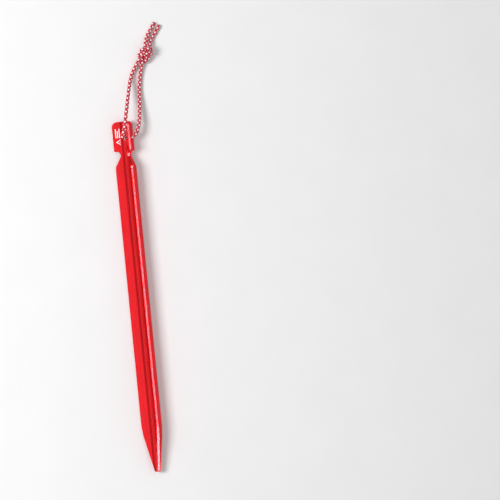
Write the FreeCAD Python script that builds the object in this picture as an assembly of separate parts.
"""Y-beam tent stake with a pull loop of thin braided cord, in millimetres.

The stake lies on a flat surface on the edges of two of its three flanges, with the
third flange standing up. +Y runs from the point to the head, +Z is up, and +X is to
the right when looking from the point towards the head. The origin is on the surface,
under the middle of the stake's length. The pull loop passes through the hole in the
upright flange, and lies on the surface beyond the head.
"""

import FreeCAD, Part
import math
import os

from FreeCAD import Vector

# The beam
STAKE_LENGTH = 190.5  # 7 1/2 inches, from the head to the point
FLANGE_REACH = 6.6  # from the hub's axis to a flange's edge
FLANGE_THICKNESS = 1.2
ROOT_RADIUS = 3.5  # the hollow between two flanges
EDGE_ROUNDING = 0.2  # along the corners of a flange's edge
FLANGES = {"left": 210.0, "upright": 90.0, "right": -30.0}  # directions about the axis

# The head, as distances from the head's end, and the notch behind it
HEAD_CORNER = 2.9  # radius of a flange's corner at the head's end
SHELF_AT = 16.0  # the flat shelf that a guy line catches under
SHELF_CORNER = 0.7
NECK_REACH = 3.2  # from the axis to the bottom of the notch
NECK_LENGTH = 4.4  # of the notch's bottom, before its shoulder rises
NOTCH_RADIUS = 2.2
SHOULDER_AT = 26.0  # where the flange is full width again
SHOULDER_RADIUS = 5.0

# The point, as distances from the point's end
TAPER_LENGTH = 28.5
TAPER_BEND = 54.0  # radius where the taper leaves the flange's edge
POINT_ANGLE = 12.8  # degrees between the cut edge and the axis
NOSE_RADIUS = 0.8

# The hole for the cord, in the upright flange
HOLE_FROM_HEAD = 9.4
HOLE_FROM_AXIS = 3.6
HOLE_RADIUS = 1.6

# The cord
CORD_RADIUS = 1.0
KNOT_LENGTH = 9.5
KNOT_RADIUS = 3.2
KNOT_ROUNDING = 2.4
SEALED_LENGTH = 1.3
SEALED_RADIUS = 1.08

AXIS_HEIGHT = (
    FLANGE_REACH * math.sin(math.radians(30))
    + FLANGE_THICKNESS / 2 * math.cos(math.radians(30))
)
HEAD_Y = STAKE_LENGTH / 2
POINT_Y = -STAKE_LENGTH / 2
HOLE = Vector(0, HEAD_Y - HOLE_FROM_HEAD, AXIS_HEIGHT + HOLE_FROM_AXIS)

# Each leg of the loop leaves the middle of the hole, to the left or to the right.
LEFT_LEG = [
    HOLE,
    Vector(-1.7, HOLE.y, HOLE.z),
    Vector(-3.1, 86.6, 8.4),
    Vector(-3.2, 88.3, 10.0),
    Vector(-2.7, 90.5, 11.2),
    Vector(-2.0, 93.4, 11.7),
    Vector(-1.3, 97.0, 11.6),
    Vector(0.2, 101.6, 10.4),
    Vector(2.4, 107.4, 7.9),
    Vector(4.6, 112.8, 5.2),
    Vector(7.0, 118.2, 2.6),
    Vector(9.5, 122.4, 1.2),
    Vector(11.7, 125.6, 2.1),
    Vector(13.6, 128.0, 3.3),
]
RIGHT_LEG = [
    HOLE,
    Vector(1.7, HOLE.y, HOLE.z),
    Vector(3.8, 86.4, 7.5),
    Vector(6.0, 88.7, 7.2),
    Vector(7.9, 92.7, 6.3),
    Vector(9.3, 97.8, 4.9),
    Vector(10.5, 103.4, 3.3),
    Vector(11.5, 109.4, 1.7),
    Vector(12.4, 115.4, 1.1),
    Vector(13.6, 121.0, 1.15),
    Vector(14.5, 126.6, 2.1),
]
KNOT_MIDDLE = Vector(15.85, HEAD_Y + 34.6, KNOT_RADIUS)
KNOT_TURN = 30.0  # degrees from +Y towards +X
LEFT_TAIL = [
    Vector(16.4, 132.6, 3.2),
    Vector(16.9, 136.4, 2.1),
    Vector(18.9, 140.2, 1.1),
    Vector(21.9, 144.3, 1.15),
    Vector(24.1, 147.5, 1.1),
]
RIGHT_TAIL = [
    Vector(17.9, 132.2, 2.2),
    Vector(19.4, 135.6, 1.3),
    Vector(21.6, 139.0, 1.1),
    Vector(24.6, 142.6, 1.15),
    Vector(26.8, 146.0, 1.1),
]


def tangent_inside(centre_a, radius_a, centre_b, radius_b):
    """The two points of the straight line that crosses between two circles, touching
    the lower side of the first and the upper side of the second."""
    across = (centre_b[0] - centre_a[0], centre_b[1] - centre_a[1])
    apart = math.hypot(*across)
    turn = math.atan2(across[1], across[0]) + math.acos((radius_a + radius_b) / apart)
    step = (math.cos(turn), math.sin(turn))
    return (
        (centre_a[0] + radius_a * step[0], centre_a[1] + radius_a * step[1]),
        (centre_b[0] - radius_b * step[0], centre_b[1] - radius_b * step[1]),
    )


def arc(centre, radius, start, end):
    """An arc about a centre (y, r), between two angles in degrees, as three points."""
    return [
        (
            centre[0] + radius * math.cos(math.radians(angle)),
            centre[1] + radius * math.sin(math.radians(angle)),
        )
        for angle in (start, (start + end) / 2, end)
    ]


def angle_of(centre, point):
    return math.degrees(math.atan2(point[1] - centre[1], point[0] - centre[0]))


def edge_outline():
    """The edge of one flange from the point to the head, as (y, r) pieces: two points
    are a line and three are an arc."""
    slope = math.radians(POINT_ANGLE)
    bend_y = POINT_Y + TAPER_LENGTH - TAPER_BEND * math.sin(slope)
    bend_r = FLANGE_REACH - TAPER_BEND * (1 - math.cos(slope))
    bend = (POINT_Y + TAPER_LENGTH, FLANGE_REACH - TAPER_BEND)
    nose_r = bend_r - (bend_y - POINT_Y) * math.tan(slope)
    nose_reach = NOSE_RADIUS * math.tan((math.pi / 2 - slope) / 2)
    nose = (POINT_Y + NOSE_RADIUS, nose_r - nose_reach)
    nose_arc = arc(nose, NOSE_RADIUS, 180, 90 + POINT_ANGLE)
    taper_arc = arc(bend, TAPER_BEND, 90 + POINT_ANGLE, 90)

    shoulder = (HEAD_Y - SHOULDER_AT, FLANGE_REACH - SHOULDER_RADIUS)
    notch = (HEAD_Y - SHELF_AT - NOTCH_RADIUS, NECK_REACH + NOTCH_RADIUS)
    low, high = tangent_inside(notch, NOTCH_RADIUS, shoulder, SHOULDER_RADIUS)
    low_angle, high_angle = angle_of(notch, low), angle_of(shoulder, high)
    shoulder_arc = arc(shoulder, SHOULDER_RADIUS, 90, high_angle)
    notch_arc = arc(notch, NOTCH_RADIUS, low_angle % 360, 360)
    shelf_y = HEAD_Y - SHELF_AT
    shelf_arc = arc(
        (shelf_y + SHELF_CORNER, FLANGE_REACH - SHELF_CORNER), SHELF_CORNER, 180, 90
    )
    head_arc = arc(
        (HEAD_Y - HEAD_CORNER, FLANGE_REACH - HEAD_CORNER), HEAD_CORNER, 90, 0
    )
    pieces = [
        nose_arc,
        taper_arc,
        shoulder_arc,
        notch_arc,
        shelf_arc,
        head_arc,
    ]
    joined = []
    for piece, following in zip(pieces, pieces[1:] + [None]):
        joined.append(piece)
        if following:
            joined.append([piece[-1], following[0]])
    return joined


def face_inside(pieces, place):
    """The flat face inside lines and arcs, with place turning a pair into a Vector."""
    edges = []
    for piece in pieces:
        points = [place(*pair) for pair in piece]
        if len(points) == 3:
            edges.append(Part.Arc(*points).toShape())
        elif (points[1] - points[0]).Length > 1e-6:
            edges.append(Part.makeLine(*points))
    return Part.Face(Part.Wire(Part.__sortEdges__(edges)))


def y_section():
    """The face of the extrusion's Y section, at the point's end."""
    hollow_reach = (FLANGE_THICKNESS / 2 + ROOT_RADIUS) / math.sin(math.radians(60))
    root = hollow_reach * math.cos(math.radians(60))
    half = FLANGE_THICKNESS / 2
    tip = FLANGE_REACH - EDGE_ROUNDING
    side = half - EDGE_ROUNDING
    corner = EDGE_ROUNDING * (1 - math.cos(math.radians(45)))

    def turned(direction, reach, across):
        turn = math.radians(direction)
        return (
            reach * math.cos(turn) - across * math.sin(turn),
            reach * math.sin(turn) + across * math.cos(turn),
        )

    pieces = []
    for direction in FLANGES.values():
        flange = [
            [(root, -half), (tip, -half)],
            [(tip, -half), (FLANGE_REACH - corner, -half + corner), (FLANGE_REACH, -side)],
            [(FLANGE_REACH, -side), (FLANGE_REACH, side)],
            [(FLANGE_REACH, side), (FLANGE_REACH - corner, half - corner), (tip, half)],
            [(tip, half), (root, half)],
        ]
        pieces += [[turned(direction, *pair) for pair in piece] for piece in flange]
        pieces.append(
            [
                turned(direction, root, half),
                turned(direction + 60, hollow_reach - ROOT_RADIUS, 0),
                turned(direction + 120, root, -half),
            ]
        )
    return face_inside(pieces, lambda x, z: Vector(x, POINT_Y, AXIS_HEIGHT + z))


def edge_cutter():
    """What is cut away outside the upright flange's edge outline."""
    outline = edge_outline()
    beyond = FLANGE_REACH + 2
    start, end = outline[0][0], outline[-1][-1]
    pieces = outline + [
        [end, (HEAD_Y + 1, end[1])],
        [(HEAD_Y + 1, end[1]), (HEAD_Y + 1, beyond)],
        [(HEAD_Y + 1, beyond), (POINT_Y - 1, beyond)],
        [(POINT_Y - 1, beyond), (POINT_Y - 1, start[1])],
        [(POINT_Y - 1, start[1]), start],
    ]
    half_width = 1.6  # wide enough for the flange's root, and clear of the next flange
    face = face_inside(pieces, lambda y, r: Vector(-half_width, y, r))
    return face.extrude(Vector(2 * half_width, 0, 0))


def stake_beam():
    """The extruded beam with its point, notches, head and cord hole cut."""
    beam = y_section().extrude(Vector(0, STAKE_LENGTH, 0))
    for direction in FLANGES.values():
        cutter = edge_cutter()
        cutter.rotate(Vector(0, 0, 0), Vector(0, 1, 0), 90 - direction)
        cutter.translate(Vector(0, 0, AXIS_HEIGHT))
        beam = beam.cut(cutter)
    hole = Part.makeCylinder(
        HOLE_RADIUS, 4, Vector(HOLE.x - 2, HOLE.y, HOLE.z), Vector(1, 0, 0)
    )
    return beam.cut(hole).removeSplitter()


def flange_solids(beam):
    """The one-piece beam as solids that meet face to face, three for each flange.

    They meet at the beam's axis, and at both ends of the notch's flat bottom.
    """
    shelf = HEAD_Y - SHELF_AT
    bottom = shelf - NECK_LENGTH
    lengths = {
        "head": (shelf, STAKE_LENGTH),
        "neck": (bottom, shelf),
        "shank": (-STAKE_LENGTH, bottom),
    }
    solids = {}
    for name, direction in FLANGES.items():
        for part, (start, end) in lengths.items():
            axis = Vector(0, start, AXIS_HEIGHT)
            corners = [axis]
            for turn in (-60, 0, 60):
                angle = math.radians(direction + turn)
                outwards = Vector(math.cos(angle), 0, math.sin(angle))
                corners.append(axis + outwards * 3 * FLANGE_REACH)
            sector = Part.Face(Part.makePolygon(corners + [axis]))
            block = sector.extrude(Vector(0, end - start, 0))
            solids[f"{name}_flange_{part}"] = beam.common(block)
    return solids


def cord_path(name, points):
    """Straight runs joined by tangent arcs along a route, with its radii printed."""
    edges = []
    radii = []
    last = points[0]
    for before, corner, after in zip(points, points[1:], points[2:]):
        back = (before - corner).normalize()
        ahead = (after - corner).normalize()
        half_turn = (math.pi - back.getAngle(ahead)) / 2
        reach = 0.45 * min((before - corner).Length, (after - corner).Length)
        radius = reach / math.tan(half_turn)
        start, end = corner + back * reach, corner + ahead * reach
        middle_way = (back + ahead).normalize()
        centre = corner + middle_way * (radius / math.cos(half_turn))
        edges.append(Part.LineSegment(last, start).toShape())
        edges.append(Part.Arc(start, centre - middle_way * radius, end).toShape())
        radii.append(round(radius, 1))
        last = end
    edges.append(Part.LineSegment(last, points[-1]).toShape())
    print(name, "length", round(sum(e.Length for e in edges), 1), "radii", radii)
    return Part.Wire(edges)


def cord_tube(name, points):
    """A round cord along a route, checked against its section times its length."""
    path = cord_path(name, points)
    ahead = points[1] - points[0]
    ring = Part.Wire([Part.Circle(points[0], ahead, CORD_RADIUS).toShape()])
    tube = path.makePipeShell([ring], True, False)
    ideal = math.pi * CORD_RADIUS**2 * path.Length
    print(name, "volume", round(tube.Volume, 1), "of", round(ideal, 1), tube.isValid())
    return tube


def barrel(middle, direction, length, radius, rounding):
    """A solid of revolution with rounded ends, centred on middle."""
    half = length / 2
    inner = radius - rounding
    slant = rounding * math.cos(math.radians(45))
    pieces = [
        [(-half, 0), (-half, inner)],
        [(-half, inner), (-half + rounding - slant, inner + slant), (-half + rounding, radius)],
        [(-half + rounding, radius), (half - rounding, radius)],
        [(half - rounding, radius), (half - rounding + slant, inner + slant), (half, inner)],
        [(half, inner), (half, 0)],
        [(half, 0), (-half, 0)],
    ]
    face = face_inside(pieces, lambda along, reach: Vector(reach, along, 0))
    solid = face.revolve(Vector(0, 0, 0), Vector(0, 1, 0), 360)
    solid.Placement = FreeCAD.Placement(
        middle, FreeCAD.Rotation(Vector(0, 1, 0), direction)
    )
    return solid


def sealed_end(tail):
    """The melted end of a tail, just past the route's last point."""
    ahead = (tail[-1] - tail[-2]).normalize()
    middle = tail[-1] + ahead * (SEALED_LENGTH / 2)
    return barrel(middle, ahead, SEALED_LENGTH, SEALED_RADIUS, 0.5)


def build():
    knot_ahead = Vector(
        math.sin(math.radians(KNOT_TURN)), math.cos(math.radians(KNOT_TURN)), 0
    )
    knot = barrel(KNOT_MIDDLE, knot_ahead, KNOT_LENGTH, KNOT_RADIUS, KNOT_ROUNDING)
    nodes = flange_solids(stake_beam())
    nodes["loop_knot"] = knot
    routes = {
        "loop_left_leg": LEFT_LEG,
        "loop_right_leg": RIGHT_LEG,
        "left_tail": LEFT_TAIL,
        "right_tail": RIGHT_TAIL,
    }
    for name, route in routes.items():
        nodes[name] = cord_tube(name, route).cut(knot)
    nodes["left_sealed_end"] = sealed_end(LEFT_TAIL)
    nodes["right_sealed_end"] = sealed_end(RIGHT_TAIL)
    return nodes


os.makedirs("parts", exist_ok=True)
for node, shape in build().items():
    solids = shape.Solids
    print(node, "valid", shape.isValid(), "solids", len(solids), round(shape.Volume, 2))
    solid = solids[0] if len(solids) == 1 else shape
    solid.exportStep(f"parts/{node}.step")
